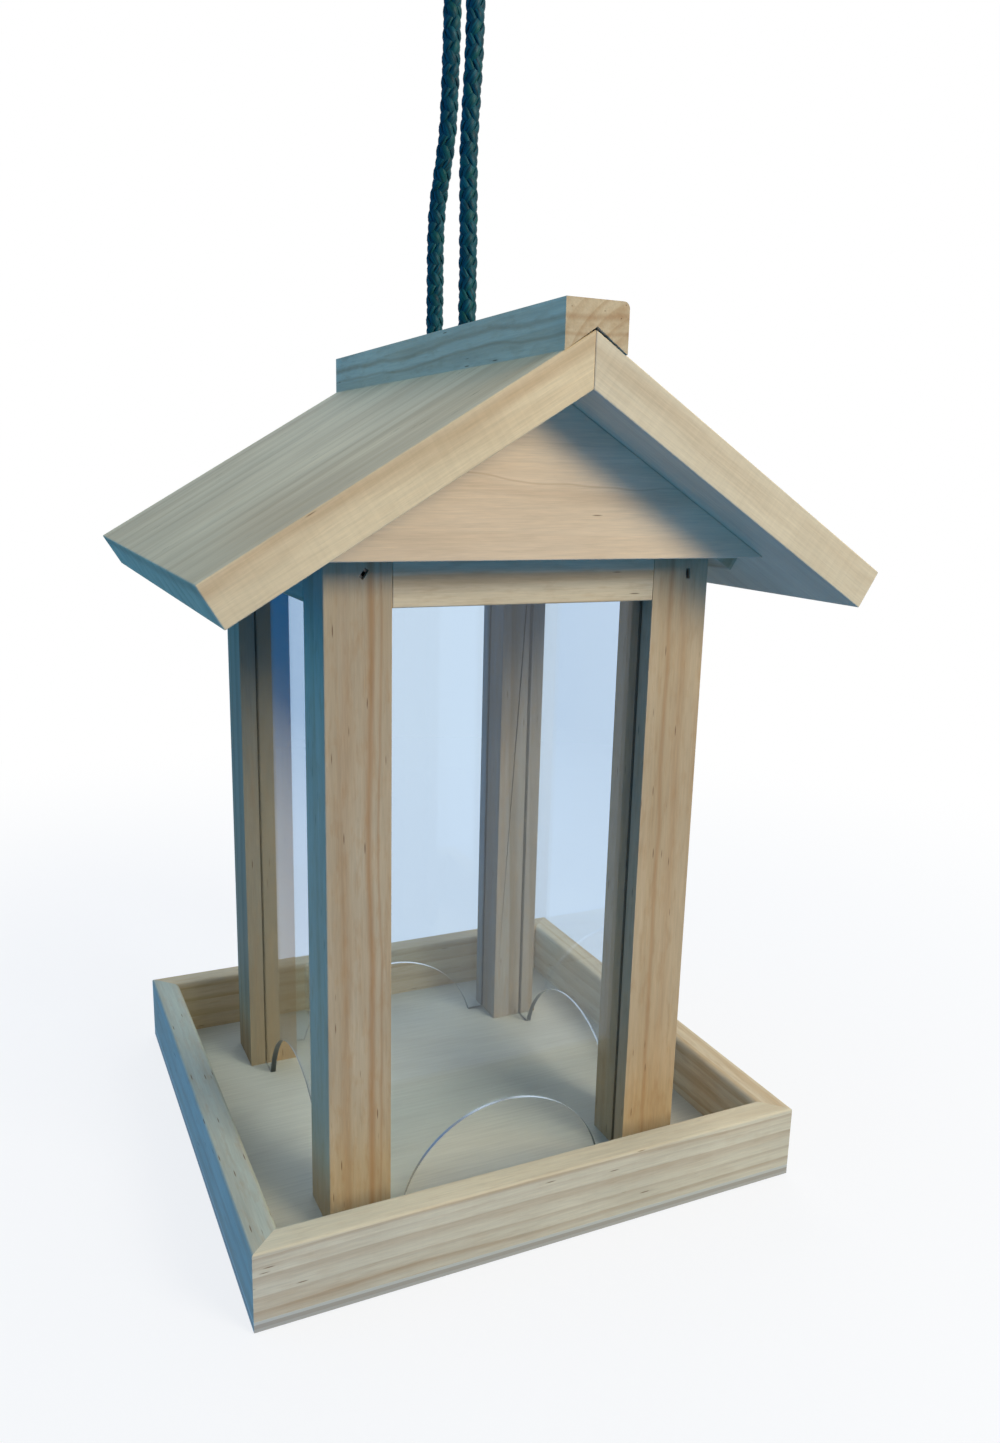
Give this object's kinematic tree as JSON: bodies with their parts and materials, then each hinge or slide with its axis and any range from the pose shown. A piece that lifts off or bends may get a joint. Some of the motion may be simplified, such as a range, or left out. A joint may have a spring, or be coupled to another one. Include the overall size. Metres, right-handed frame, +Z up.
{
  "type": "bird feeder",
  "caption": "Hanging wooden seed feeder: a square tray under a glazed post house with arched feeding mouths, and a gabled roof that lifts up its hanging cord.",
  "frame": {"origin": "middle of the base board's underside", "axes": "+Z up, the front gable faces -Y, the ridge runs along Y, +X is the right-hand side seen from the front"},
  "size_m": [0.2046, 0.194, 0.4145],
  "materials": {
    "pine": "planed pine, unfinished, fine straight grain",
    "roof_pine": "planed pine board, unfinished, straight grain down the slope",
    "plywood": "sanded thin plywood, unfinished",
    "clear_acrylic": "clear cast acrylic sheet, polished faces",
    "braided_cord": "braided polypropylene cord, dark teal",
    "steel": "plain steel wire and screws, slightly dulled"
  },
  "bodies": {
    "house": {"base_board": "plywood", "tray_rail_front": "pine", "tray_rail_back": "pine", "tray_rail_left": "pine", "tray_rail_right": "pine", "post_front_left": "pine", "post_front_right": "pine", "post_back_left": "pine", "post_back_right": "pine", "top_rail_front": "pine", "top_rail_back": "pine", "top_rail_left": "pine", "top_rail_right": "pine", "pane_front": "clear_acrylic", "pane_back": "clear_acrylic", "pane_left": "clear_acrylic", "pane_right": "clear_acrylic", "cord_bar": "pine", "cord_knots": "braided_cord", "cord": "braided_cord", "frame_brads": "steel", "bar_brads": "steel", "tray_brads": "steel", "base_screws": "steel"},
    "roof": {"roof_board_left": "roof_pine", "roof_board_right": "roof_pine", "gable_front": "pine", "gable_back": "pine", "ridge_cap": "pine", "batten_left": "pine", "batten_right": "pine", "batten_brads": "steel"}
  },
  "joints": [
    {"name": "roof_lift", "type": "slide", "parent": "house", "child": "roof", "axis": [0, 0, 1], "range_m": [0, 0.04]}
  ]
}
